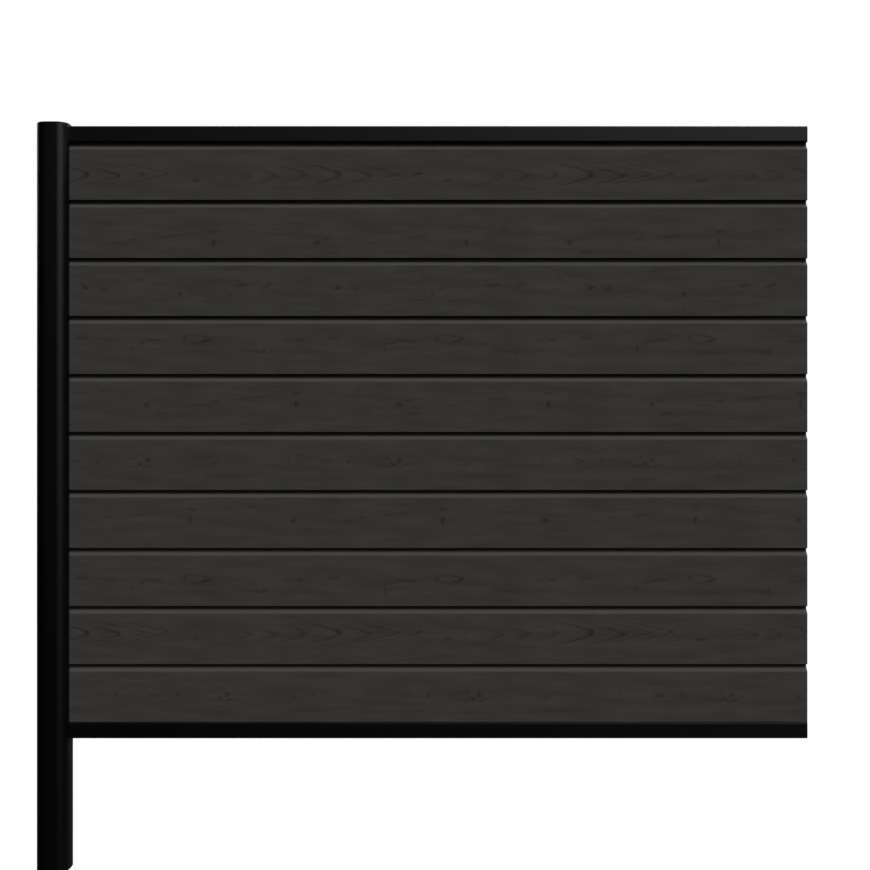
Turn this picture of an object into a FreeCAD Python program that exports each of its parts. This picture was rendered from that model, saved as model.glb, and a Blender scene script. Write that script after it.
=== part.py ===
# One bay of garden fencing: a slotted aluminium post and the panel of tongue-and-groove boards it carries.
# Origin at the centre of the post's foot, +Z up, +X along the panel to its free end, front face towards -Y.
# All lengths are millimetres.
import FreeCAD, Part
import math
import os
from FreeCAD import Vector

# Boards: hollow wood-plastic composite, laid flat and stacked on each other's tongues
board_count = 10
board_length = 1800.0
board_cover = 140.0  # height that one board adds to the stack
board_thickness = 26.0
board_wall = 4.5
board_lip_radius = 1.2
tongue_thickness = 6.0
tongue_engagement = 14.0  # how far the tongue stands inside the groove of the board above
tongue_tip_chamfer = 1.5
groove_clearance = 0.5  # on each side of the tongue
groove_lead_in = 1.0
joint_reveal = 7.0  # tongue left in view under the lip of the board above
bevel_height = 10.5  # sloping shoulder below the tongue
bevel_edge_radius = 6.0
chamber_count = 4
chamber_web = 4.5
chamber_radius = 3.0

# Rails: hollow aluminium, a little proud of the boards on both faces
rail_height = 39.0
rail_proud = 1.0
rail_wall = 2.0
rail_edge_radius = 3.5
rail_tongue_gap = 0.5  # left above the bottom rail's tongue, so that the board sits on the ledges

# Post: aluminium extrusion with a slot in both sides
post_foot_length = 315.0  # below the panel, most of it in the ground
post_side = 78.0
post_corner_radius = 27.0
post_wall = 2.5
slot_depth = 23.0
slot_wall = 2.0
slot_lip_radius = 1.2
slot_clearance = 0.5  # on each side of the rails
board_end_gap = 3.0  # room for the boards to grow, at the floor of the slot

# Cap: flat plate on two hollow plugs that push into the post's chambers
cap_thickness = 5.0
cap_edge_chamfer = 1.2
cap_plug_depth = 16.0
cap_plug_wall = 2.0
cap_plug_clearance = 0.3

# Seals: rubber strips that pack the boards in the slot
seal_width = 12.0
seal_base = 1.0
seal_inset = 4.0  # from the mouth of the slot
seal_fin_count = 3
seal_fin_root = 1.6
seal_fin_tip = 0.8

# Cover: strip that closes the slot below the panel, with two legs along the slot's walls
cover_wall = 1.5
cover_crown = 1.0  # rise of its face between the lips of the slot
cover_leg = 12.0
cover_fit = 0.2  # on each side, to the slot's walls

# Bracket: angle that carries the bottom rail in the slot, and its screws
bracket_thickness = 2.5
bracket_leg = 45.0
bracket_bend_radius = 1.5  # inside the bend
bracket_side_clearance = 0.8  # to the cover's legs
bracket_setback = 2.0  # of the shelf from the cover's face
screw_spacing = 18.0
screw_radius = 2.1
screw_length = 13.0
screw_point = 3.5
screw_fit = 0.15  # round the shank in its holes
screw_flange_radius = 4.6
screw_flange = 1.0
screw_hex_across = 7.0
screw_hex_height = 3.0
screw_hex_sides = 6

# Sizes that follow from those above
post_half = post_side / 2
board_half = board_thickness / 2
tongue_half = tongue_thickness / 2
groove_half = tongue_half + groove_clearance
rail_half = board_half + rail_proud
rail_inner_radius = rail_edge_radius - rail_wall
slot_half = rail_half + slot_clearance
slot_floor = post_half - slot_depth
panel_start = slot_floor + board_end_gap
stack_height = board_count * board_cover
stack_bottom = post_foot_length + rail_height
stack_top = stack_bottom + stack_height
post_length = stack_top + rail_height  # the top rail ends flush with the post, under the cap
cover_half = slot_half - cover_fit
cover_edge = post_half - cover_crown
bracket_face = slot_floor + bracket_thickness
along_panel = Vector(board_length, 0, 0)


def section_point(y, z):
    return Vector(panel_start, y, z)


# Corners are (point, radius) pairs in order round a flat outline; a radius of zero leaves a corner sharp.
def rounded_face(corners):
    arcs = []
    for index, (corner, radius) in enumerate(corners):
        to_last = (corners[index - 1][0] - corner).normalize()
        to_next = (corners[(index + 1) % len(corners)][0] - corner).normalize()
        half_angle = to_last.getAngle(to_next) / 2
        setback = radius / math.tan(half_angle)
        inward = (to_last + to_next).normalize()
        middle = corner + inward * (radius / math.sin(half_angle) - radius)
        arcs.append((corner + to_last * setback, middle, corner + to_next * setback, radius))
    edges = []
    for index, (start, middle, end, radius) in enumerate(arcs):
        if radius:
            edges.append(Part.Arc(start, middle, end).toShape())
        edges.append(Part.makeLine(end, arcs[(index + 1) % len(arcs)][0]))
    return Part.Face(Part.Wire(edges))


# A face with the outline of one half, from its lowest point up to the middle line, and its mirror image.
def mirrored_section(half):
    corners = [(section_point(y, z), radius) for y, z, radius in half]
    corners += [(section_point(-y, z), radius) for y, z, radius in reversed(half)]
    return rounded_face(corners)


def box_between(low, high):
    size = high - low
    return Part.makeBox(size.x, size.y, size.z, low)


def square_prism(half, radius, bottom, height):
    corners = [(Vector(half * x, half * y, bottom), radius) for x, y in ((1, 1), (-1, 1), (-1, -1), (1, -1))]
    return rounded_face(corners).extrude(Vector(0, 0, height))


# The hollow in front of the slots (side -1) or behind them (side 1), taken in by a margin all round.
def post_chamber(side, margin, bottom, height):
    inner_half = post_half - post_wall - margin
    inner = square_prism(inner_half, post_corner_radius - post_wall - margin, bottom, height)
    near = slot_half + slot_wall + margin
    low = Vector(-post_half, min(side * near, side * post_half), bottom)
    high = Vector(post_half, max(side * near, side * post_half), bottom + height)
    return inner.common(box_between(low, high))


def bracket_screw_heights():
    middle = post_foot_length - (bracket_thickness + bracket_leg) / 2
    return [middle - screw_spacing / 2, middle + screw_spacing / 2]


def bracket_screw_holes():
    start = slot_floor - screw_length
    radius = screw_radius + screw_fit
    length = screw_length + slot_depth
    starts = [Vector(start, 0, height) for height in bracket_screw_heights()]
    return [Part.makeCylinder(radius, length, place, Vector(1, 0, 0)) for place in starts]


def is_slot_lip(edge):
    middle = edge.CenterOfMass
    upright = edge.BoundBox.ZLength > post_length / 2
    at_mouth = abs(middle.x) > slot_floor + slot_depth / 2
    return upright and at_mouth and math.isclose(abs(middle.y), slot_half)


def make_post():
    body = square_prism(post_half, post_corner_radius, 0, post_length)
    slots = [
        box_between(Vector(slot_floor, -slot_half, 0), Vector(post_side, slot_half, post_length)),
        box_between(Vector(-post_side, -slot_half, 0), Vector(-slot_floor, slot_half, post_length)),
    ]
    body = body.cut(slots)
    body = body.makeFillet(slot_lip_radius, [edge for edge in body.Edges if is_slot_lip(edge)])
    core_half = slot_floor - slot_wall
    core = box_between(Vector(-core_half, -slot_half, 0), Vector(core_half, slot_half, post_length))
    chambers = [post_chamber(side, 0, 0, post_length) for side in (-1, 1)]
    return body.cut(chambers + [core] + bracket_screw_holes())


def make_post_cap():
    plate = square_prism(post_half, post_corner_radius, post_length, cap_thickness)
    top = max(plate.Faces, key=lambda face: face.CenterOfMass.z)
    plate = plate.makeChamfer(cap_edge_chamfer, top.Edges)
    plug_bottom = post_length - cap_plug_depth
    for side in (-1, 1):
        plug = post_chamber(side, cap_plug_clearance, plug_bottom, cap_plug_depth)
        hollow = post_chamber(side, cap_plug_clearance + cap_plug_wall, plug_bottom, cap_plug_depth)
        plate = plate.fuse(plug.cut(hollow))
    return plate.removeSplitter()


def make_board(bottom):
    shoulder = bottom + board_cover - joint_reveal
    tongue_top = bottom + board_cover + tongue_engagement
    groove_top = bottom + tongue_engagement
    outline = mirrored_section([
        (groove_half, groove_top, 0),
        (groove_half, bottom + groove_lead_in, 0),
        (groove_half + groove_lead_in, bottom, 0),
        (board_half, bottom, board_lip_radius),
        (board_half, shoulder - bevel_height, bevel_edge_radius),
        (tongue_half, shoulder, 0),
        (tongue_half, tongue_top - tongue_tip_chamfer, 0),
        (tongue_half - tongue_tip_chamfer, tongue_top, 0),
    ])
    first_chamber = groove_top + board_wall
    chambers_height = shoulder - bevel_height - first_chamber
    chamber_height = (chambers_height - (chamber_count - 1) * chamber_web) / chamber_count
    chamber_half = board_half - board_wall
    chambers = []
    for number in range(chamber_count):
        low = first_chamber + number * (chamber_height + chamber_web)
        chambers.append(mirrored_section([
            (chamber_half, low, chamber_radius),
            (chamber_half, low + chamber_height, chamber_radius),
        ]).extrude(along_panel))
    return outline.extrude(along_panel).cut(chambers)


def make_top_rail():
    groove_top = stack_top + tongue_engagement
    top = stack_top + rail_height
    outline = mirrored_section([
        (groove_half, groove_top, 0),
        (groove_half, stack_top, 0),
        (rail_half, stack_top, rail_edge_radius),
        (rail_half, top, rail_edge_radius),
    ])
    hollow = mirrored_section([
        (groove_half + rail_wall, groove_top + rail_wall, 0),
        (groove_half + rail_wall, stack_top + rail_wall, 0),
        (rail_half - rail_wall, stack_top + rail_wall, rail_inner_radius),
        (rail_half - rail_wall, top - rail_wall, rail_inner_radius),
    ])
    return outline.extrude(along_panel).cut(hollow.extrude(along_panel))


def make_bottom_rail():
    tongue_top = stack_bottom + tongue_engagement - rail_tongue_gap
    outline = mirrored_section([
        (rail_half, post_foot_length, rail_edge_radius),
        (rail_half, stack_bottom, rail_edge_radius),
        (tongue_half, stack_bottom, 0),
        (tongue_half, tongue_top - tongue_tip_chamfer, 0),
        (tongue_half - tongue_tip_chamfer, tongue_top, 0),
    ])
    hollow = mirrored_section([
        (rail_half - rail_wall, post_foot_length + rail_wall, rail_inner_radius),
        (rail_half - rail_wall, stack_bottom - rail_wall, rail_inner_radius),
        (tongue_half - rail_wall, stack_bottom - rail_wall, 0),
        (tongue_half - rail_wall, tongue_top - rail_wall, 0),
    ])
    return outline.extrude(along_panel).cut(hollow.extrude(along_panel))


# A ribbed strip between the slot's wall and the boards, in front (side -1) or behind (side 1).
def make_slot_seal(side):
    mouth_edge = post_half - seal_inset
    wall_y = side * slot_half
    base_y = side * (slot_half - seal_base)
    board_y = side * board_half
    fin_pitch = seal_width / seal_fin_count
    outline = [(mouth_edge - seal_width, wall_y), (mouth_edge, wall_y), (mouth_edge, base_y)]
    for number in range(seal_fin_count):
        middle = mouth_edge - (number + 1 / 2) * fin_pitch
        outline += [(middle + seal_fin_root / 2, base_y), (middle + seal_fin_tip / 2, board_y)]
        outline += [(middle - seal_fin_tip / 2, board_y), (middle - seal_fin_root / 2, base_y)]
    outline.append((mouth_edge - seal_width, base_y))
    face = rounded_face([(Vector(x, y, stack_bottom), 0) for x, y in outline])
    return face.extrude(Vector(0, 0, stack_height))


# A crowned face, level with the post's side in its middle, on two legs.
def make_slot_cover():
    leg_end = cover_edge - cover_leg
    face_back = cover_edge - cover_wall
    inner_half = cover_half - cover_wall
    outline = [(cover_edge, cover_half), (leg_end, cover_half)]
    outline += [(leg_end, inner_half), (face_back, inner_half)]
    outline += [(x, -y) for x, y in reversed(outline)]
    points = [Vector(x, y, 0) for x, y in outline]
    crown = Part.Arc(points[-1], Vector(post_half, 0, 0), points[0]).toShape()
    edges = [crown] + [Part.makeLine(start, end) for start, end in zip(points, points[1:])]
    return Part.Face(Part.Wire(edges)).extrude(Vector(0, 0, post_foot_length))


def make_rail_bracket():
    half_width = cover_half - cover_wall - bracket_side_clearance
    shelf_end = cover_edge - cover_wall - bracket_setback
    leg_bottom = post_foot_length - bracket_leg
    shelf_under = post_foot_length - bracket_thickness
    corners = [
        (slot_floor, post_foot_length, bracket_bend_radius + bracket_thickness),
        (slot_floor, leg_bottom, 0),
        (bracket_face, leg_bottom, 0),
        (bracket_face, shelf_under, bracket_bend_radius),
        (shelf_end, shelf_under, 0),
        (shelf_end, post_foot_length, 0),
    ]
    face = rounded_face([(Vector(x, -half_width, z), radius) for x, z, radius in corners])
    return face.extrude(Vector(0, 2 * half_width, 0)).cut(bracket_screw_holes())


# Self-drilling screw with a flanged hexagon head, its head seated on the bracket's leg.
def make_screw(height):
    seat = Vector(bracket_face, 0, height)
    into_post = Vector(-1, 0, 0)
    out_of_post = Vector(1, 0, 0)
    shank_length = screw_length - screw_point
    shank = Part.makeCylinder(screw_radius, shank_length, seat, into_post)
    point = Part.makeCone(screw_radius, 0, screw_point, seat + into_post * shank_length, into_post)
    flange = Part.makeCylinder(screw_flange_radius, screw_flange, seat, out_of_post)
    step = 2 * math.pi / screw_hex_sides
    corner_radius = screw_hex_across / 2 / math.cos(step / 2)
    head_seat = seat + out_of_post * screw_flange
    corners = []
    for turn in range(screw_hex_sides):
        offset = Vector(0, math.cos(turn * step), math.sin(turn * step)) * corner_radius
        corners.append((head_seat + offset, 0))
    head = rounded_face(corners).extrude(out_of_post * screw_hex_height)
    return shank.fuse([point, flange, head]).removeSplitter()


def make_bracket_screws():
    return Part.makeCompound([make_screw(height) for height in bracket_screw_heights()])


parts = {
    "post": make_post(),
    "post_cap": make_post_cap(),
    "top_rail": make_top_rail(),
    "bottom_rail": make_bottom_rail(),
    "slot_seal_front": make_slot_seal(-1),
    "slot_seal_rear": make_slot_seal(1),
    "slot_cover": make_slot_cover(),
    "rail_bracket": make_rail_bracket(),
    "bracket_screws": make_bracket_screws(),
}
for number in range(board_count):
    parts[f"board_{number + 1:02d}"] = make_board(stack_bottom + number * board_cover)

os.makedirs("parts", exist_ok=True)
for name, shape in parts.items():
    shape.exportStep(f"parts/{name}.step")
    print(name, "solids", len(shape.Solids), "volume", round(shape.Volume), "valid", shape.isValid())
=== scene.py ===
import math
import bmesh
import bpy
from mathutils import Matrix, Vector


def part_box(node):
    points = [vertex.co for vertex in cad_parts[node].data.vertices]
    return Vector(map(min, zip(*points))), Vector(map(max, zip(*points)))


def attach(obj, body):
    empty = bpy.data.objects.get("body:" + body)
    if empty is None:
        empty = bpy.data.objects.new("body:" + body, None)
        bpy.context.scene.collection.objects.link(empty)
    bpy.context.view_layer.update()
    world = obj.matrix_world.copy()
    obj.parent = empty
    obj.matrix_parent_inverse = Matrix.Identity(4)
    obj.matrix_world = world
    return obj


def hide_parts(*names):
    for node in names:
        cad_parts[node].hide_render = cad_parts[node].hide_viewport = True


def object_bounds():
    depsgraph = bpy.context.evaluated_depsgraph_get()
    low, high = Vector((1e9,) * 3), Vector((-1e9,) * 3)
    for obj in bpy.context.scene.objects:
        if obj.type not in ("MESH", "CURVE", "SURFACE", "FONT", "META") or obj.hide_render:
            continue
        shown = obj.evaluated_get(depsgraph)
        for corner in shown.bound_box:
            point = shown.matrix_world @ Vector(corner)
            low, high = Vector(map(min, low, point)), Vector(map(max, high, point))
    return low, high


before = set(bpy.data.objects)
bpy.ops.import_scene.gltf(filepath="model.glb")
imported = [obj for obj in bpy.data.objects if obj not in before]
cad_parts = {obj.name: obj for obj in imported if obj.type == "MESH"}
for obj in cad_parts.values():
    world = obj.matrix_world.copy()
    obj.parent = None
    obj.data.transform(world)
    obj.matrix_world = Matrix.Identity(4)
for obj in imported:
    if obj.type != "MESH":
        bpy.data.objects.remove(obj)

mm = 0.001
scene = bpy.context.scene
scene.view_settings.view_transform = "Standard"
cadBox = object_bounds()
print("frame loaded:", len(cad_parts), "nodes")


# sRGB hex to the linear colour that a shader takes
def linearColour(code):
    shares = [int(code[place:place + 2], 16) / 255 for place in (1, 3, 5)]
    return [s / 12.92 if s <= 0.04045 else ((s + 0.055) / 1.055) ** 2.4 for s in shares] + [1.0]


# inputs maps a socket's name or number to a value, or to the output that feeds it
def addNode(tree, kind, inputs=None, **settings):
    node = tree.nodes.new("ShaderNode" + kind)
    for name, value in settings.items():
        setattr(node, name, value)
    for socket, value in (inputs or {}).items():
        if isinstance(value, bpy.types.NodeSocket):
            tree.links.new(value, node.inputs[socket])
        else:
            node.inputs[socket].default_value = value
    return node


def newMaterial(name):
    material = bpy.data.materials.new(name)
    material.use_nodes = True
    return material, material.node_tree, material.node_tree.nodes["Principled BSDF"]


# Powder-coated aluminium: black polyester baked on the extrusion, satin, with a fine orange-peel pebble
# that spreads its highlights and leaves their edges a little uneven.
powderCoat = {
    "colour": "#020202",
    "roughness": (0.41, 0.445),
    "cloud": 60,
    "cloudDetail": 3,
    "pebble": 1.4,
    "pebbleDetail": 2,
    "relief": 0.003,
}


def makePowderCoat():
    material, tree, shader = newMaterial("blackPowderCoatedAluminium")
    place = addNode(tree, "TexCoord").outputs["Object"]
    cloud = addNode(tree, "TexNoise", {"Vector": place, "Scale": 1 / (powderCoat["cloud"] * mm),
                                       "Detail": powderCoat["cloudDetail"]})
    pebble = addNode(tree, "TexNoise", {"Vector": place, "Scale": 1 / (powderCoat["pebble"] * mm),
                                        "Detail": powderCoat["pebbleDetail"]})
    low, high = powderCoat["roughness"]
    rough = addNode(tree, "MapRange", {"Value": cloud.outputs[0], "To Min": low, "To Max": high})
    bump = addNode(tree, "Bump", {"Height": pebble.outputs[0], "Distance": powderCoat["relief"] * mm})
    shader.inputs["Base Color"].default_value = linearColour(powderCoat["colour"])
    tree.links.new(rough.outputs[0], shader.inputs["Roughness"])
    tree.links.new(bump.outputs[0], shader.inputs["Normal"])
    return material


# Sawn aluminium: the bare cut ends of the extrusions, pale grey metal with the saw's fine parallel scores.
# They scatter part of the light, so that the ends look dull and don't mirror.
sawnMetal = {
    "colour": "#A9ABAD",
    "roughness": (0.34, 0.5),
    "metallic": 0.4,
    "scores": 1.6,
    "scoreTilt": 0.5,  # radians
    "bandsPerUnit": 3,  # about what the wave node draws at a scale of 1
    "wobble": 1.5,
    "wobbleDetail": 2,
    "relief": 0.02,
}


def makeSawnMetal():
    material, tree, shader = newMaterial("sawnAluminium")
    place = addNode(tree, "TexCoord").outputs["Object"]
    turn = sawnMetal["scoreTilt"]
    tilted = addNode(tree, "Mapping", {"Vector": place, "Rotation": (turn, turn, turn)})
    waveScale = 1 / (sawnMetal["bandsPerUnit"] * sawnMetal["scores"] * mm)
    scores = addNode(tree, "TexWave", {"Vector": tilted.outputs[0], "Scale": waveScale,
                                       "Distortion": sawnMetal["wobble"],
                                       "Detail": sawnMetal["wobbleDetail"]})
    low, high = sawnMetal["roughness"]
    rough = addNode(tree, "MapRange", {"Value": scores.outputs[1], "To Min": low, "To Max": high})
    bump = addNode(tree, "Bump", {"Height": scores.outputs[1], "Distance": sawnMetal["relief"] * mm})
    shader.inputs["Base Color"].default_value = linearColour(sawnMetal["colour"])
    shader.inputs["Metallic"].default_value = sawnMetal["metallic"]
    tree.links.new(rough.outputs[0], shader.inputs["Roughness"])
    tree.links.new(bump.outputs[0], shader.inputs["Normal"])
    return material


# Moulded ABS: the cap's black plastic with a light spark-eroded grain, a little duller than the coating.
capPlastic = {
    "colour": "#030303",
    "roughness": (0.42, 0.48),
    "grain": 0.9,
    "relief": 0.01,
}


def makeCapPlastic():
    material, tree, shader = newMaterial("mouldedBlackAbs")
    place = addNode(tree, "TexCoord").outputs["Object"]
    grain = addNode(tree, "TexVoronoi", {"Vector": place, "Scale": 1 / (capPlastic["grain"] * mm)})
    low, high = capPlastic["roughness"]
    rough = addNode(tree, "MapRange", {"Value": grain.outputs["Distance"], "To Min": low, "To Max": high})
    bump = addNode(tree, "Bump", {"Height": grain.outputs["Distance"], "Distance": capPlastic["relief"] * mm})
    shader.inputs["Base Color"].default_value = linearColour(capPlastic["colour"])
    tree.links.new(rough.outputs[0], shader.inputs["Roughness"])
    tree.links.new(bump.outputs[0], shader.inputs["Normal"])
    return material


# EPDM rubber: the extruded seals, dull black with a faint grey bloom.
sealRubber = {
    "colour": "#131313",
    "bloom": "#1E1E1E",
    "roughness": 0.75,
    "patch": 9,
    "patchDetail": 4,
}


def makeSealRubber():
    material, tree, shader = newMaterial("extrudedEpdmRubber")
    place = addNode(tree, "TexCoord").outputs["Object"]
    patch = addNode(tree, "TexNoise", {"Vector": place, "Scale": 1 / (sealRubber["patch"] * mm),
                                       "Detail": sealRubber["patchDetail"]})
    tone = addNode(tree, "ValToRGB", {"Fac": patch.outputs[0]})
    tone.color_ramp.elements[0].color = linearColour(sealRubber["colour"])
    tone.color_ramp.elements[1].color = linearColour(sealRubber["bloom"])
    tree.links.new(tone.outputs[0], shader.inputs["Base Color"])
    shader.inputs["Roughness"].default_value = sealRubber["roughness"]
    return material


# Stainless steel: the folded bracket and its screws, cold rolled and lightly brushed, with a soft grey sheen.
stainless = {
    "colour": "#B4B3B0",
    "roughness": (0.24, 0.42),
    "brush": 0.6,
    "brushDetail": 3,
    "stretch": 0.05,
}


def makeStainless():
    material, tree, shader = newMaterial("brushedStainlessSteel")
    place = addNode(tree, "TexCoord").outputs["Object"]
    along = addNode(tree, "Mapping", {"Vector": place, "Scale": (1, stainless["stretch"], 1)})
    brush = addNode(tree, "TexNoise", {"Vector": along.outputs[0], "Scale": 1 / (stainless["brush"] * mm),
                                       "Detail": stainless["brushDetail"]})
    low, high = stainless["roughness"]
    rough = addNode(tree, "MapRange", {"Value": brush.outputs[0], "To Min": low, "To Max": high})
    shader.inputs["Base Color"].default_value = linearColour(stainless["colour"])
    shader.inputs["Metallic"].default_value = 1.0
    tree.links.new(rough.outputs[0], shader.inputs["Roughness"])
    return material


# Wood-plastic composite, sawn: the boards' cut ends, with pale wood flour specks in a dark grey ground.
sawnBoard = {
    "ground": "#2B2A28",
    "speck": "#57524B",
    "speckSize": 1.1,
    "speckDetail": 3,
    "groundTo": 0.48,  # noise level up to which the ground shows, and from which a speck does
    "speckFrom": 0.72,
    "roughness": 0.85,
    "relief": 0.15,
}


def makeSawnBoard():
    material, tree, shader = newMaterial("sawnWoodPlasticComposite")
    place = addNode(tree, "TexCoord").outputs["Object"]
    flour = addNode(tree, "TexNoise", {"Vector": place, "Scale": 1 / (sawnBoard["speckSize"] * mm),
                                       "Detail": sawnBoard["speckDetail"]})
    tone = addNode(tree, "ValToRGB", {"Fac": flour.outputs[0]})
    tone.color_ramp.elements[0].position = sawnBoard["groundTo"]
    tone.color_ramp.elements[0].color = linearColour(sawnBoard["ground"])
    tone.color_ramp.elements[1].position = sawnBoard["speckFrom"]
    tone.color_ramp.elements[1].color = linearColour(sawnBoard["speck"])
    bump = addNode(tree, "Bump", {"Height": flour.outputs[0], "Distance": sawnBoard["relief"] * mm})
    tree.links.new(tone.outputs[0], shader.inputs["Base Color"])
    tree.links.new(bump.outputs[0], shader.inputs["Normal"])
    shader.inputs["Roughness"].default_value = sawnBoard["roughness"]
    return material


# Wood-plastic composite, embossed: an extruded anthracite board whose faces are rolled hot with a wood
# grain. The eye sees a matt dark grey with slightly darker pressed lines, knots and streaks; the bevel above
# the face isn't rolled and stays smooth, and its paler tone is painted light, a painted highlight for its
# upward slope.
composite = {
    "face": "#33312F",
    "pressed": "#252321",
    "raised": "#3F3D3A",
    # painted highlight: the smooth bevel's tone, paler than the face to stand in for the light its upward
    # slope catches
    "skinWithPaintedLight": "#383634",
    "roughness": 0.8,
    "specular": 0.2,
    "repeat": 609,  # one turn of the embossing roll
    "cloud": (140, 22),  # length and height of the ground's broad patches
    "cloudDepth": 0.32,
    "streak": (70, 5),
    "streakDepth": 0.13,
    "fibre": (26, 1.6),
    "fibreDepth": 0.08,
    "noiseDetail": 2,
    "fray": 13,  # size of the ragged edges of the marks
    "stray": (7, 3.5),  # how far a ragged edge strays along the board and up
    "markCore": 0.2,  # share of a mark's width that is pressed to its full depth
    "leafRim": 0.45,  # width of a leaf's outline, as a share of the leaf
    "headLine": 13,
    "headSlope": 4.6,  # how far the arms of an arrow head trail for each millimetre off the axis
    "headFade": 0.4,  # share of an arm's reach after which it fades
    "patch": 35,
    "patchRange": (0.3, 0.6),  # noise levels between which the roll presses less and fully
    "leastPressed": 0.5,
    "pressedTone": 0.5,  # how far a full mark goes from the face's tone towards the pressed one
    "relief": 0.55,
    "skinWithPaintedLightFrom": 120.5,  # height in the board at which the rolled face ends and the smooth bevel with its painted highlight begins
    "skinWithPaintedLightFull": 124.5,
}

# What the roll presses in one turn, along the board and up from its lip. Dabs and leaves are (along, up,
# half length, half height, depth, tilt in degrees), a leaf drawn hollow and a depth below nought left
# standing proud. Arrow heads are (tip, axis, bluntness, reach, depth).
grains = {
    "arrows": {
        "dabs": [(324, 46, 17, 6, 0.75, 10), (255, 64, 8, 6, 0.6, 0), (61, 61, 6, 13, 0.6, 0),
                 (136, 58, 6, 9, 0.4, 0), (547, 100, 36, 9, 0.35, 0), (522, 27, 20, 4, 0.35, 5),
                 (405, 33, 46, 12, 0.2, 0), (473, 58, 18, 10, -0.3, 0), (380, 54, 15, 9, -0.25, 0),
                 (300, 60, 20, 5, 0.25, 0)],
        "leaves": [(392, 60, 24, 10, 0.15, 0)],
        "heads": [(61, 61, 13, 34, 0.85), (136, 58, 7, 31, 0.7), (201, 62, 3, 34, 0.6),
                  (255, 63, 2, 32, 0.6), (456, 57, 6, 18, 0.4), (516, 58, 11, 22, 0.5),
                  (584, 61, 13, 27, 0.6)],
    },
    "knots": {
        "dabs": [(18, 36, 13, 10, 1.0, 0), (41, 46, 17, 5, 0.5, 15), (380, 63, 18, 5, 0.75, 0),
                 (378, 35, 5, 17, 0.75, 0), (377, 41, 7, 8, 0.4, 0), (183, 44, 15, 5, 0.6, 5),
                 (146, 35, 32, 3.5, 0.5, 2), (263, 51, 54, 6, 0.5, 6), (272, 74, 19, 9, 0.2, 0),
                 (526, 69, 24, 3.5, 0.5, 0), (470, 66, 17, 5, 0.4, 0), (430, 50, 4, 9, 0.3, 0),
                 (57, 14, 31, 6, 0.5, 0), (520, 18, 60, 16, 0.2, 0), (115, 86, 56, 10, 0.22, -4),
                 (124, 15, 60, 10, 0.2, 0), (545, 49, 32, 8, -0.3, 0), (320, 72, 24, 7, -0.2, 0)],
        "leaves": [],
        "heads": [],
    },
    "flecks": {
        "dabs": [(58, 67, 12, 5, 0.6, -20), (97, 64, 9, 6, 0.5, 30), (213, 67, 7, 5, 0.4, 0),
                 (247, 38, 33, 5, 0.6, 0), (285, 53, 6, 12, 0.85, 0), (284, 22, 3, 25, 0.35, 0),
                 (308, 66, 10, 4.5, 0.6, -25), (392, 84, 70, 3.5, 0.4, 4), (433, 74, 27, 7, 0.8, 7),
                 (496, 73, 21, 8, 0.75, 25), (408, 52, 15, 4, 0.5, 0), (346, 35, 27, 5, 0.5, 5),
                 (592, 91, 12, 5, 0.55, -10), (186, 87, 11, 5, 0.35, 0), (102, 65, 4, 9, 0.4, 0),
                 (269, 93, 17, 10, 0.25, 0), (417, 114, 60, 8, 0.25, 0), (223, 111, 50, 12, 0.22, 0),
                 (566, 52, 15, 4, 0.35, 0), (460, 58, 34, 9, -0.2, 0)],
        "leaves": [],
        "heads": [(62, 69, 6, 11, 0.6), (106, 66, 3, 9, 0.35)],
    },
    "slivers": {
        "dabs": [(46, 86, 27, 8, 0.6, 0), (171, 56, 4.5, 16, 0.65, 0), (222, 81, 35, 6, 0.7, 0),
                 (182, 75, 27, 4.5, 0.45, 10), (297, 86, 4.5, 18, 0.65, -5), (343, 78, 17, 4, 0.45, -5),
                 (488, 53, 5.5, 12, 0.7, 0), (473, 53, 23, 4.5, 0.4, 0), (454, 56, 52, 7, 0.3, 0),
                 (545, 80, 18, 5, 0.5, 0), (355, 50, 90, 12, 0.2, 0), (108, 84, 25, 5, 0.3, 0),
                 (326, 84, 18, 6, -0.3, 0), (580, 42, 40, 9, -0.2, 0)],
        "leaves": [(326, 84, 33, 11, 0.25, 0)],
        "heads": [(357, 84, 3, 13, 0.7), (580, 82, 2, 9, 0.6), (200, 76, 3, 10, 0.4)],
    },
    "eyes": {
        "dabs": [(207, 71, 10, 9, 1.0, 0), (226, 68, 9, 12, -0.35, 0), (194, 60, 17, 3, 0.75, -35),
                 (213, 57, 12, 3, 0.55, 30), (173, 58, 19, 4, 0.5, 0), (180, 77, 4.5, 8, 0.5, 20),
                 (86, 69, 5, 10, 0.8, -25), (89, 79, 8, 4, 0.45, 0), (55, 56, 27, 3.5, 0.35, 0),
                 (136, 69, 6, 8, 0.35, 0), (368, 63, 10, 6, 0.6, 25), (352, 60, 15, 3.5, 0.3, 0),
                 (417, 71, 8, 6, 0.55, 40), (442, 74, 8, 4, 0.4, 0), (511, 71, 9, 5, 0.4, 0),
                 (549, 72, 6, 10, 0.6, 0), (563, 48, 23, 4, 0.45, 8), (400, 33, 140, 9, 0.3, 3),
                 (194, 26, 60, 9, 0.25, 0), (24, 69, 10, 5, 0.4, 0)],
        "leaves": [(170, 64, 22, 12, 0.25, 0)],
        "heads": [(40, 69, 3, 10, 0.6), (232, 66, 8, 14, 0.35)],
    },
}


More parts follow.
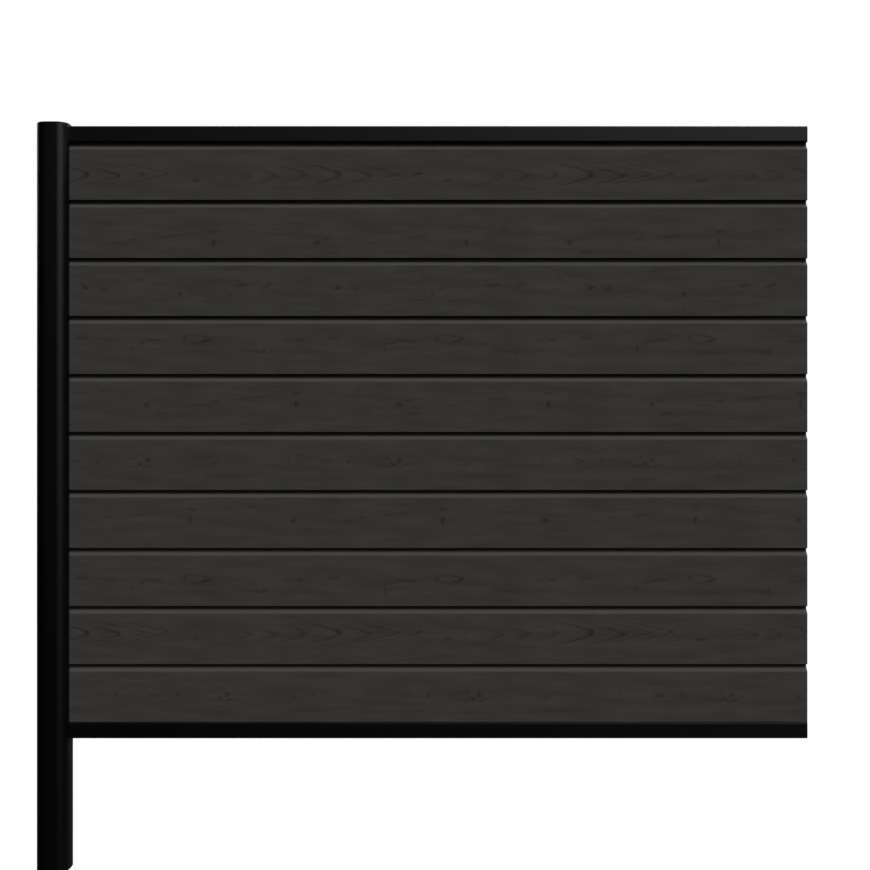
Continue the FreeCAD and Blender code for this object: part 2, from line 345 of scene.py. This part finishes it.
# shift and rise move the pressed figure along and up this board
def makeComposite(name, grain, shift, rise):
    material, tree, shader = newMaterial(name)
    metres = addNode(tree, "UVMap", uv_map="boardRun").outputs[0]
    onBoard = addNode(tree, "VectorMath", {0: metres, "Scale": 1 / mm}, operation="SCALE").outputs[0]
    height = addNode(tree, "SeparateXYZ", {0: onBoard}).outputs[1]
    moved = addNode(tree, "VectorMath", {0: onBoard, 1: (-shift, -rise, 0)}).outputs[0]

    # ragged edges: the marks are drawn on a slightly frayed copy of the surface
    strayAlong, strayUp = composite["stray"]
    fray = addNode(tree, "TexNoise", {"Vector": moved, "Scale": 1 / composite["fray"],
                                      "Detail": composite["noiseDetail"]}).outputs["Color"]
    frayed = addNode(tree, "VectorMath", {0: fray, 1: (2 * strayAlong, 2 * strayUp, 0),
                                          2: (-strayAlong, -strayUp, 0)}, operation="MULTIPLY_ADD").outputs[0]
    grainPlace = addNode(tree, "VectorMath", {0: moved, 1: frayed}).outputs[0]

    # the roll's figure comes round again after each turn
    split = addNode(tree, "SeparateXYZ", {0: grainPlace})
    run, up = split.outputs[0], split.outputs[1]
    along = addNode(tree, "Math", {0: run, 1: composite["repeat"], 2: 0}, operation="WRAP").outputs[0]
    onRoll = addNode(tree, "CombineXYZ", {0: along, 1: up}).outputs[0]

    # each outline is (distance from the mark's middle line, distance at its edge, depth, fade or None)
    outlines = []
    for kind in ("dabs", "leaves"):
        for centre, rising, halfLength, halfHeight, depth, tilt in grain[kind]:
            local = addNode(tree, "Mapping", {0: onRoll, "Location": (centre, rising, 0),
                                              "Scale": (halfLength, halfHeight, 1),
                                              "Rotation": (0, 0, math.radians(tilt))},
                            vector_type="TEXTURE").outputs[0]
            if kind == "dabs":
                out = addNode(tree, "VectorMath", {0: local}, operation="LENGTH").outputs["Value"]
                outlines.append((out, 1.0, depth, None))
            else:
                axes = addNode(tree, "SeparateXYZ", {0: local})
                side = addNode(tree, "Math", {0: axes.outputs[1]}, operation="ABSOLUTE").outputs[0]
                lens = addNode(tree, "Math", {0: axes.outputs[0], 1: axes.outputs[0], 2: side},
                               operation="MULTIPLY_ADD").outputs[0]
                rim = addNode(tree, "Math", {0: lens, 1: 1.0}, operation="SUBTRACT").outputs[0]
                rim = addNode(tree, "Math", {0: rim}, operation="ABSOLUTE").outputs[0]
                outlines.append((rim, composite["leafRim"], depth, None))
    slope, halfTurn = composite["headSlope"], composite["repeat"] / 2
    for tip, axis, blunt, reach, depth in grain["heads"]:
        offAxis = addNode(tree, "Math", {0: up, 1: axis}, operation="SUBTRACT").outputs[0]
        squared = addNode(tree, "Math", {0: offAxis, 1: offAxis, 2: blunt ** 2},
                          operation="MULTIPLY_ADD").outputs[0]
        arm = addNode(tree, "Math", {0: squared}, operation="SQRT").outputs[0]
        trail = addNode(tree, "Math", {0: arm, 1: slope, 2: run}, operation="MULTIPLY_ADD").outputs[0]
        ahead = addNode(tree, "Math", {0: trail, 1: tip + slope * blunt}, operation="SUBTRACT").outputs[0]
        ahead = addNode(tree, "Math", {0: ahead, 1: halfTurn, 2: -halfTurn}, operation="WRAP").outputs[0]
        ahead = addNode(tree, "Math", {0: ahead}, operation="ABSOLUTE").outputs[0]
        inReach = addNode(tree, "Math", {0: offAxis}, operation="ABSOLUTE").outputs[0]
        fade = addNode(tree, "MapRange", {"Value": inReach, "From Min": reach * composite["headFade"],
                                          "From Max": reach, "To Min": 1, "To Max": 0},
                       interpolation_type="SMOOTHSTEP").outputs[0]
        outlines.append((ahead, composite["headLine"], depth, fade))

    pressed = None
    for distance, edge, depth, fade in outlines:
        mark = addNode(tree, "MapRange", {"Value": distance, "From Min": composite["markCore"] * edge,
                                          "From Max": edge, "To Min": depth, "To Max": 0},
                       interpolation_type="SMOOTHSTEP").outputs[0]
        if fade is not None:
            mark = addNode(tree, "Math", {0: mark, 1: fade}, operation="MULTIPLY").outputs[0]
        pressed = mark if pressed is None else addNode(tree, "Math", {0: pressed, 1: mark}).outputs[0]

    # patches where the roll pressed less, so that no line runs evenly
    patchy = addNode(tree, "TexNoise", {"Vector": moved, "Scale": 1 / composite["patch"],
                                        "Detail": composite["noiseDetail"]}).outputs[0]
    weak, full = composite["patchRange"]
    bite = addNode(tree, "MapRange", {"Value": patchy, "From Min": weak, "From Max": full,
                                      "To Min": composite["leastPressed"], "To Max": 1}).outputs[0]
    pressed = addNode(tree, "Math", {0: pressed, 1: bite}, operation="MULTIPLY").outputs[0]

    middle = 0.5  # place of the face's own tone on the colour ramp
    tone = addNode(tree, "Math", {0: pressed, 1: -composite["pressedTone"], 2: middle},
                   operation="MULTIPLY_ADD").outputs[0]
    for key in ("cloud", "streak", "fibre"):
        length, width = composite[key]
        stretched = addNode(tree, "Mapping", {0: grainPlace, "Scale": (1 / length, 1 / width, 1)}).outputs[0]
        noise = addNode(tree, "TexNoise", {"Vector": stretched, "Scale": 1,
                                           "Detail": composite["noiseDetail"]}).outputs[0]
        swing = composite[key + "Depth"]
        change = addNode(tree, "MapRange", {"Value": noise, "To Min": -swing, "To Max": swing}).outputs[0]
        tone = addNode(tree, "Math", {0: tone, 1: change}).outputs[0]

    ramp = addNode(tree, "ValToRGB", {0: tone})
    ramp.color_ramp.elements[0].color = linearColour(composite["pressed"])
    ramp.color_ramp.elements[1].color = linearColour(composite["raised"])
    ramp.color_ramp.elements.new(middle).color = linearColour(composite["face"])
    # the smooth bevel above the face: no pressed relief, and a paler tone that is painted light for its
    # upward slope
    skinWithPaintedLight = addNode(tree, "MapRange", {"Value": height, "From Min": composite["skinWithPaintedLightFrom"],
                                      "From Max": composite["skinWithPaintedLightFull"]},
                   interpolation_type="SMOOTHSTEP").outputs[0]
    # sockets 6, 7 and output 2 are the Mix node's colours
    colour = addNode(tree, "Mix", {0: skinWithPaintedLight, 6: ramp.outputs[0], 7: linearColour(composite["skinWithPaintedLight"])},
                     data_type="RGBA")
    relief = addNode(tree, "Math", {0: tone, 1: skinWithPaintedLight}, operation="MAXIMUM").outputs[0]
    bump = addNode(tree, "Bump", {"Height": relief, "Distance": composite["relief"] * mm})
    tree.links.new(colour.outputs[2], shader.inputs["Base Color"])
    tree.links.new(bump.outputs[0], shader.inputs["Normal"])
    shader.inputs["Roughness"].default_value = composite["roughness"]
    shader.inputs["Specular IOR Level"].default_value = composite["specular"]
    return material


coated = makePowderCoat()
bareEnd = makeSawnMetal()
sawnEnd = makeSawnBoard()
print("materials made")


def addWire(mesh, places):
    verts = [mesh.verts.new(place) for place in places]
    for start, end in zip(verts, verts[1:]):
        mesh.edges.new((start, end))
    return verts


cornerSteps = 5
mergeDistance = 1e-6  # metres
sharpAngle = math.radians(30)
squareOn = 0.99  # cosine above which a face counts as square to the extrusion
cutSlot = 1  # a sawn piece's second material is its cut


def roundCorner(mesh, vert, radius):
    first, second = [edge.other_vert(vert).co - vert.co for edge in vert.link_edges]
    setback = radius / math.tan(first.angle(second) / 2)
    bmesh.ops.bevel(mesh, geom=[vert], offset=setback, offset_type="OFFSET", segments=cornerSteps,
                    profile=0.5, affect="VERTICES", material=-1)


# fills closed loops of edges, holes left open, and draws the face out into a solid
def drawOut(mesh, edges, direction):
    filled = bmesh.ops.triangle_fill(mesh, edges=edges, use_beauty=True)
    faces = [item for item in filled["geom"] if isinstance(item, bmesh.types.BMFace)]
    grown = bmesh.ops.extrude_face_region(mesh, geom=faces)
    verts = [item for item in grown["geom"] if isinstance(item, bmesh.types.BMVert)]
    bmesh.ops.translate(mesh, verts=verts, vec=direction)
    bmesh.ops.recalc_face_normals(mesh, faces=mesh.faces[:])


def finishPiece(name, mesh, materials, node):
    data = bpy.data.meshes.new(name)
    mesh.to_mesh(data)
    mesh.free()
    for material in materials:
        data.materials.append(material)
    data.shade_smooth()
    data.set_sharp_from_angle(angle=sharpAngle)
    piece = bpy.data.objects.new(name, data)
    scene.collection.objects.link(piece)
    flats = piece.modifiers.new("keepFlatsFlat", "WEIGHTED_NORMAL")
    flats.keep_sharp = True
    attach(piece, "root")
    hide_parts(node)


# end faces, square to the direction of extrusion, show the bare cut
def markCutEnds(mesh, direction):
    for face in mesh.faces:
        if abs(face.normal.dot(direction.normalized())) > squareOn:
            face.material_index = cutSlot


# Panel: boards and rails are half sections in the Y-Z plane, mirrored and drawn out along X
railLow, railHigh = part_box("top_rail")
panelStart = railLow.x
panelRun = Vector((railHigh.x - railLow.x, 0, 0))


# corners are (out, up, radius) from the lowest point on the middle line to the highest
def addHalfLoop(mesh, bottom, corners):
    places = [Vector((panelStart, out * mm, bottom + up * mm)) for out, up, radius in corners]
    verts = addWire(mesh, places)
    for vert, (out, up, radius) in zip(verts, corners):
        if radius:
            roundCorner(mesh, vert, radius * mm)


def mirrorLoops(mesh, axes):
    for axis in axes:
        bmesh.ops.mirror(mesh, geom=mesh.verts[:] + mesh.edges[:], matrix=Matrix(),
                         merge_dist=mergeDistance, axis=axis)


boardShape = {
    "half": 13,
    "cover": 140,
    "lipRadius": 1.2,
    "grooveHalf": 3.5,
    "grooveDepth": 14,
    "leadIn": 1,
    "tongueHalf": 3,
    "tongueTop": 154,
    "tongueTip": 1.5,
    "shoulder": 133,
    "bevel": 10.5,
    "bevelRadius": 6,
    "wall": 4.5,
    "chambers": 4,
    "chamberRadius": 3,
}

# figure, shift along and rise of the grain on each board, from the bottom up
boardGrain = [
    ("eyes", 192, -5), ("arrows", 0, 14), ("slivers", 0, -19), ("knots", 542, 30), ("eyes", 0, 0),
    ("knots", 188, 30), ("slivers", 0, 0), ("flecks", 0, 0), ("knots", -10, 0), ("arrows", 0, 0),
]


def makeBoard(number, figure, shift, rise):
    name = f"board_{number:02d}"
    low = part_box(name)[0]
    shape = boardShape
    faceTop = shape["shoulder"] - shape["bevel"]
    mesh = bmesh.new()
    addHalfLoop(mesh, low.z, [
        (0, shape["grooveDepth"], 0),
        (shape["grooveHalf"], shape["grooveDepth"], 0),
        (shape["grooveHalf"], shape["leadIn"], 0),
        (shape["grooveHalf"] + shape["leadIn"], 0, 0),
        (shape["half"], 0, shape["lipRadius"]),
        (shape["half"], faceTop, shape["bevelRadius"]),
        (shape["tongueHalf"], shape["shoulder"], 0),
        (shape["tongueHalf"], shape["tongueTop"] - shape["tongueTip"], 0),
        (shape["tongueHalf"] - shape["tongueTip"], shape["tongueTop"], 0),
        (0, shape["tongueTop"], 0),
    ])
    firstFloor = shape["grooveDepth"] + shape["wall"]
    pitch = (faceTop - firstFloor + shape["wall"]) / shape["chambers"]
    out = shape["half"] - shape["wall"]
    for chamber in range(shape["chambers"]):
        floor = firstFloor + chamber * pitch
        ceiling = floor + pitch - shape["wall"]
        addHalfLoop(mesh, low.z, [(0, floor, 0), (out, floor, shape["chamberRadius"]),
                                  (out, ceiling, shape["chamberRadius"]), (0, ceiling, 0)])
    mirrorLoops(mesh, "Y")
    drawOut(mesh, mesh.edges[:], panelRun)
    markCutEnds(mesh, panelRun)
    run = mesh.loops.layers.uv.new("boardRun")
    for face in mesh.faces:
        for corner in face.loops:
            place = corner.vert.co
            corner[run].uv = (place.x - panelStart, place.z - low.z)
    grained = makeComposite(f"embossedComposite{number:02d}", grains[figure], shift, rise)
    finishPiece(f"grainedBoard{number:02d}", mesh, [grained, sawnEnd], name)


for number, (figure, shift, rise) in enumerate(boardGrain, start=1):
    makeBoard(number, figure, shift, rise)
print("boards made:", len(boardGrain))


railShape = {
    "half": 14,
    "height": 39,
    "wall": 2,
    "edgeRadius": 3.5,
    "innerRadius": 1.5,
    "grooveHalf": 3.5,
    "grooveDepth": 14,
    "tongueHalf": 3,
    "tongueTop": 52.5,
    "tongueTip": 1.5,
}


def makeTopRail():
    shape = railShape
    wall = shape["wall"]
    inner = shape["grooveHalf"] + wall
    mesh = bmesh.new()
    addHalfLoop(mesh, railLow.z, [
        (0, shape["grooveDepth"], 0),
        (shape["grooveHalf"], shape["grooveDepth"], 0),
        (shape["grooveHalf"], 0, 0),
        (shape["half"], 0, shape["edgeRadius"]),
        (shape["half"], shape["height"], shape["edgeRadius"]),
        (0, shape["height"], 0),
    ])
    addHalfLoop(mesh, railLow.z, [
        (0, shape["grooveDepth"] + wall, 0),
        (inner, shape["grooveDepth"] + wall, 0),
        (inner, wall, 0),
        (shape["half"] - wall, wall, shape["innerRadius"]),
        (shape["half"] - wall, shape["height"] - wall, shape["innerRadius"]),
        (0, shape["height"] - wall, 0),
    ])
    mirrorLoops(mesh, "Y")
    drawOut(mesh, mesh.edges[:], panelRun)
    markCutEnds(mesh, panelRun)
    finishPiece("topRail", mesh, [coated, bareEnd], "top_rail")


def makeBottomRail():
    shape = railShape
    wall = shape["wall"]
    tip = shape["tongueTip"]
    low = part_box("bottom_rail")[0]
    mesh = bmesh.new()
    addHalfLoop(mesh, low.z, [
        (0, 0, 0),
        (shape["half"], 0, shape["edgeRadius"]),
        (shape["half"], shape["height"], shape["edgeRadius"]),
        (shape["tongueHalf"], shape["height"], 0),
        (shape["tongueHalf"], shape["tongueTop"] - tip, 0),
        (shape["tongueHalf"] - tip, shape["tongueTop"], 0),
        (0, shape["tongueTop"], 0),
    ])
    addHalfLoop(mesh, low.z, [
        (0, wall, 0),
        (shape["half"] - wall, wall, shape["innerRadius"]),
        (shape["half"] - wall, shape["height"] - wall, shape["innerRadius"]),
        (shape["tongueHalf"] - wall, shape["height"] - wall, 0),
        (shape["tongueHalf"] - wall, shape["tongueTop"] - wall, 0),
        (0, shape["tongueTop"] - wall, 0),
    ])
    mirrorLoops(mesh, "Y")
    drawOut(mesh, mesh.edges[:], panelRun)
    markCutEnds(mesh, panelRun)
    finishPiece("bottomRail", mesh, [coated, bareEnd], "bottom_rail")


makeTopRail()
makeBottomRail()
print("rails made")


# Post, cap and cover: quarter or half sections in the X-Y plane, mirrored and drawn out along Z
postLow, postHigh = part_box("post")
postShape = {
    "half": 39,
    "cornerRadius": 27,
    "wall": 2.5,
    "slotHalf": 14.5,
    "slotFloor": 16,
    "slotWall": 2,
    "lipRadius": 1.2,
    "arcSteps": 18,
}


# goes round the post's corner from a vertex on the arc to the flat, and on to the Y axis
def addCornerArc(mesh, start):
    centre = Vector((postShape["half"] - postShape["cornerRadius"],) * 2 + (0,)) * mm
    centre.z = start.co.z
    spoke = start.co - centre
    angle = math.pi / 2 - math.atan2(spoke.y, spoke.x)
    spun = bmesh.ops.spin(mesh, geom=[start], cent=centre, axis=(0, 0, 1), angle=angle,
                          steps=postShape["arcSteps"])
    last = [item for item in spun["geom_last"] if isinstance(item, bmesh.types.BMVert)][0]
    mesh.edges.new((last, mesh.verts.new((0, last.co.y, last.co.z))))


# a quarter of the hollows beside the slots, taken in by a margin
def addChamberQuarter(mesh, margin, height):
    radius = postShape["cornerRadius"] - postShape["wall"] - margin
    centre = postShape["half"] - postShape["cornerRadius"]
    near = postShape["slotHalf"] + postShape["slotWall"] + margin
    reach = centre + math.sqrt(radius ** 2 - (near - centre) ** 2)
    verts = addWire(mesh, [Vector((0, near * mm, height)), Vector((reach * mm, near * mm, height))])
    addCornerArc(mesh, verts[-1])


def makePost():
    shape = postShape
    slotHalf = shape["slotHalf"] * mm
    floor = shape["slotFloor"] * mm
    core = (shape["slotFloor"] - shape["slotWall"]) * mm
    centre = shape["half"] - shape["cornerRadius"]
    mouth = centre + math.sqrt(shape["cornerRadius"] ** 2 - (shape["slotHalf"] - centre) ** 2)
    mesh = bmesh.new()
    verts = addWire(mesh, [Vector((floor, 0, 0)), Vector((floor, slotHalf, 0)),
                           Vector((mouth * mm, slotHalf, 0))])
    addCornerArc(mesh, verts[-1])
    roundCorner(mesh, verts[-1], shape["lipRadius"] * mm)
    addChamberQuarter(mesh, 0, 0)
    addWire(mesh, [Vector((core, 0, 0)), Vector((core, slotHalf, 0)), Vector((0, slotHalf, 0))])
    mirrorLoops(mesh, "XY")
    upPost = Vector((0, 0, postHigh.z - postLow.z))
    drawOut(mesh, mesh.edges[:], upPost)
    markCutEnds(mesh, upPost)
    finishPiece("slottedPost", mesh, [coated, bareEnd], "post")


capShape = {
    "chamfer": 1.2,
    "chamferSteps": 3,
    "rimAngle": 1,  # radians between faces, past which a top edge is the rim
    "plugDepth": 16,
    "plugWall": 2,
    "plugMargin": 0.3,
}


def makeCap():
    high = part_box("post_cap")[1]
    half = postShape["half"] * mm
    seat = postHigh.z
    mesh = bmesh.new()
    flat = half - postShape["cornerRadius"] * mm
    verts = addWire(mesh, [Vector((half, 0, seat)), Vector((half, flat, seat))])
    addCornerArc(mesh, verts[-1])
    mirrorLoops(mesh, "XY")
    drawOut(mesh, mesh.edges[:], Vector((0, 0, high.z - seat)))
    rim = [edge for edge in mesh.edges if min(vert.co.z for vert in edge.verts) > high.z - mm
           and edge.calc_face_angle(0) > capShape["rimAngle"]]
    bmesh.ops.bevel(mesh, geom=rim, offset=capShape["chamfer"] * mm, offset_type="OFFSET",
                    segments=capShape["chamferSteps"], profile=0.5, affect="EDGES", material=-1)
    plugs = bmesh.new()
    addChamberQuarter(plugs, capShape["plugMargin"], seat)
    addChamberQuarter(plugs, capShape["plugMargin"] + capShape["plugWall"], seat)
    mirrorLoops(plugs, "XY")
    drawOut(plugs, plugs.edges[:], Vector((0, 0, -capShape["plugDepth"] * mm)))
    plugData = bpy.data.meshes.new("capPlugs")
    plugs.to_mesh(plugData)
    plugs.free()
    mesh.from_mesh(plugData)
    bpy.data.meshes.remove(plugData)
    finishPiece("postCap", mesh, [makeCapPlastic()], "post_cap")


coverShape = {
    "half": 14.3,
    "wall": 1.5,
    "crown": 1,
    "leg": 12,
    "crownSteps": 6,
}


def makeSlotCover():
    low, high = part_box("slot_cover")
    shape = coverShape
    half = shape["half"] * mm
    inner = half - shape["wall"] * mm
    edge = high.x - shape["crown"] * mm
    legEnd = edge - shape["leg"] * mm
    back = edge - shape["wall"] * mm
    mesh = bmesh.new()
    crownRadius = (half ** 2 + (shape["crown"] * mm) ** 2) / (2 * shape["crown"] * mm)
    middle = mesh.verts.new((high.x, 0, low.z))
    spun = bmesh.ops.spin(mesh, geom=[middle], cent=(high.x - crownRadius, 0, low.z), axis=(0, 0, 1),
                          angle=math.asin(half / crownRadius), steps=shape["crownSteps"])
    last = [item for item in spun["geom_last"] if isinstance(item, bmesh.types.BMVert)][0]
    verts = addWire(mesh, [Vector((legEnd, half, low.z)), Vector((legEnd, inner, low.z)),
                           Vector((back, inner, low.z)), Vector((back, 0, low.z))])
    mesh.edges.new((last, verts[0]))
    mirrorLoops(mesh, "Y")
    upCover = Vector((0, 0, high.z - low.z))
    drawOut(mesh, mesh.edges[:], upCover)
    markCutEnds(mesh, upCover)
    finishPiece("slotCover", mesh, [coated, bareEnd], "slot_cover")


makePost()
makeCap()
makeSlotCover()
print("post, cap and cover made")


# The small parts in the slot keep their solids and get their own materials
fittings = [
    (makeSealRubber(), ["slot_seal_front", "slot_seal_rear"]),
    (makeStainless(), ["rail_bracket", "bracket_screws"]),
]
for material, nodes in fittings:
    for node in nodes:
        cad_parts[node].data.materials.clear()
        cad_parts[node].data.materials.append(material)
print("fittings dressed")


# Stage: white floor behind and under the fence, white backdrop, dark room in front
stage = {
    "floorFrom": (-3.0, -0.05),  # metres
    "floorTo": (5.0, 4.0),
    "shadowShare": 0.05,  # share of the floor that takes light and shadow
    "backdropFrom": 0.15,  # share of +Y in a direction at which the backdrop starts, and is full
    "backdropFull": 0.6,
    "mirrored": 0.02,  # how much of the white the satin black shows
    "roomGlow": 0.05,  # light that reaches matt surfaces from all round
}


def makeFloor():
    mesh = bmesh.new()
    bmesh.ops.create_grid(mesh, x_segments=1, y_segments=1, size=0.5)
    size = Vector(stage["floorTo"]) - Vector(stage["floorFrom"])
    middle = (Vector(stage["floorTo"]) + Vector(stage["floorFrom"])) / 2
    bmesh.ops.scale(mesh, vec=(size.x, size.y, 1), verts=mesh.verts[:])
    bmesh.ops.translate(mesh, vec=(middle.x, middle.y, cadBox[0].z), verts=mesh.verts[:])
    data = bpy.data.meshes.new("studioFloor")
    mesh.to_mesh(data)
    mesh.free()
    floor = bpy.data.objects.new("studioFloor", data)
    scene.collection.objects.link(floor)
    material = bpy.data.materials.new("whiteStudioFloor")
    material.use_nodes = True
    tree = material.node_tree
    tree.nodes.clear()
    rays = addNode(tree, "LightPath")
    seen = addNode(tree, "Math", {0: rays.outputs["Is Glossy Ray"], 1: rays.outputs["Is Transmission Ray"]},
                   operation="MAXIMUM")
    seen = addNode(tree, "Math", {0: seen.outputs[0], 1: stage["mirrored"]}, operation="MULTIPLY")
    seen = addNode(tree, "Math", {0: seen.outputs[0], 1: rays.outputs["Is Camera Ray"]}, operation="MAXIMUM")
    glow = addNode(tree, "Emission", {"Strength": seen.outputs[0]})
    matt = addNode(tree, "BsdfDiffuse", {"Color": (1, 1, 1, 1)})
    share = addNode(tree, "Math", {0: rays.outputs["Is Camera Ray"], 1: stage["shadowShare"]},
                    operation="MULTIPLY")
    mixed = addNode(tree, "MixShader", {0: share.outputs[0], 1: glow.outputs[0], 2: matt.outputs[0]})
    addNode(tree, "OutputMaterial", {"Surface": mixed.outputs[0]})
    data.materials.append(material)


def makeWorld():
    world = bpy.data.worlds.new("studio")
    scene.world = world
    world.use_nodes = True
    tree = world.node_tree
    tree.nodes.clear()
    rays = addNode(tree, "LightPath")
    direction = addNode(tree, "TexCoord").outputs["Generated"]
    backward = addNode(tree, "SeparateXYZ", {0: direction}).outputs[1]
    backdrop = addNode(tree, "MapRange", {"Value": backward, "From Min": stage["backdropFrom"],
                                          "From Max": stage["backdropFull"]}, interpolation_type="SMOOTHSTEP")
    mirrored = addNode(tree, "Math", {0: rays.outputs["Is Glossy Ray"],
                                      1: rays.outputs["Is Transmission Ray"]}, operation="MAXIMUM")
    mirrored = addNode(tree, "Math", {0: mirrored.outputs[0], 1: stage["mirrored"]}, operation="MULTIPLY")
    mirrored = addNode(tree, "Math", {0: mirrored.outputs[0], 1: backdrop.outputs[0]}, operation="MULTIPLY")
    white = addNode(tree, "Math", {0: rays.outputs["Is Camera Ray"], 1: mirrored.outputs[0]},
                    operation="MAXIMUM")
    diffuse = addNode(tree, "Math", {0: rays.outputs["Is Diffuse Ray"], 1: stage["roomGlow"]},
                      operation="MULTIPLY")
    strength = addNode(tree, "Math", {0: white.outputs[0], 1: diffuse.outputs[0]}, operation="MAXIMUM")
    sky = addNode(tree, "Background", {"Color": (1, 1, 1, 1), "Strength": strength.outputs[0]})
    addNode(tree, "OutputWorld", {"Surface": sky.outputs[0]})


# azimuth in degrees from the front towards the free end, strength in watts per square metre; onMatt and
# inGloss say whether a lamp lights the matt surfaces and shows in the glossy ones
lamps = {
    "sideSoftbox": {"azimuth": 32.6, "elevation": 33, "strength": 0.87, "spread": 53,
                    "onMatt": True, "inGloss": True},
    "overheadSoftbox": {"azimuth": 12, "elevation": 53, "strength": 3.9, "spread": 36,
                        "onMatt": True, "inGloss": False},
    "edgeLamp": {"azimuth": 108, "elevation": 66, "strength": 3.5, "spread": 9,
                 "onMatt": False, "inGloss": True},
    "rearSoftbox": {"azimuth": 190, "elevation": 45, "strength": 3.2, "spread": 40,
                    "onMatt": True, "inGloss": False},
    "rearSideSoftbox": {"azimuth": 218, "elevation": 30, "strength": 1.0, "spread": 50,
                        "onMatt": True, "inGloss": True},
    "rearLamp": {"azimuth": 140, "elevation": 12, "strength": 0.4, "spread": 40,
                 "onMatt": False, "inGloss": True},
    "freeEndSoftbox": {"azimuth": 100, "elevation": 5, "strength": 2.5, "spread": 18,
                       "onMatt": True, "inGloss": False},
}


lampDistance = 6  # metres


def makeLamp(name, lamp):
    data = bpy.data.lights.new(name, "SUN")
    data.energy = lamp["strength"]
    data.angle = math.radians(lamp["spread"])
    sun = bpy.data.objects.new(name, data)
    scene.collection.objects.link(sun)
    turn, lift = math.radians(lamp["azimuth"]), math.radians(lamp["elevation"])
    towards = Vector((math.sin(turn) * math.cos(lift), -math.cos(turn) * math.cos(lift), math.sin(lift)))
    sun.rotation_euler = towards.to_track_quat("Z", "Y").to_euler()
    sun.location = towards * lampDistance
    sun.visible_diffuse = lamp["onMatt"]
    sun.visible_glossy = lamp["inGloss"]


view = {"place": (0.9205, -3.0815, 1.0472), "lens": 52.63, "sensor": 36}


def makeCamera():
    data = bpy.data.cameras.new("frontView")
    data.lens = view["lens"]
    data.sensor_width = view["sensor"]
    camera = bpy.data.objects.new("frontView", data)
    camera.location = view["place"]
    camera.rotation_euler = (math.pi / 2, 0, 0)
    scene.collection.objects.link(camera)
    scene.camera = camera


makeFloor()
makeWorld()
for name, lamp in lamps.items():
    makeLamp(name, lamp)
makeCamera()
print("stage, lamps and camera set")
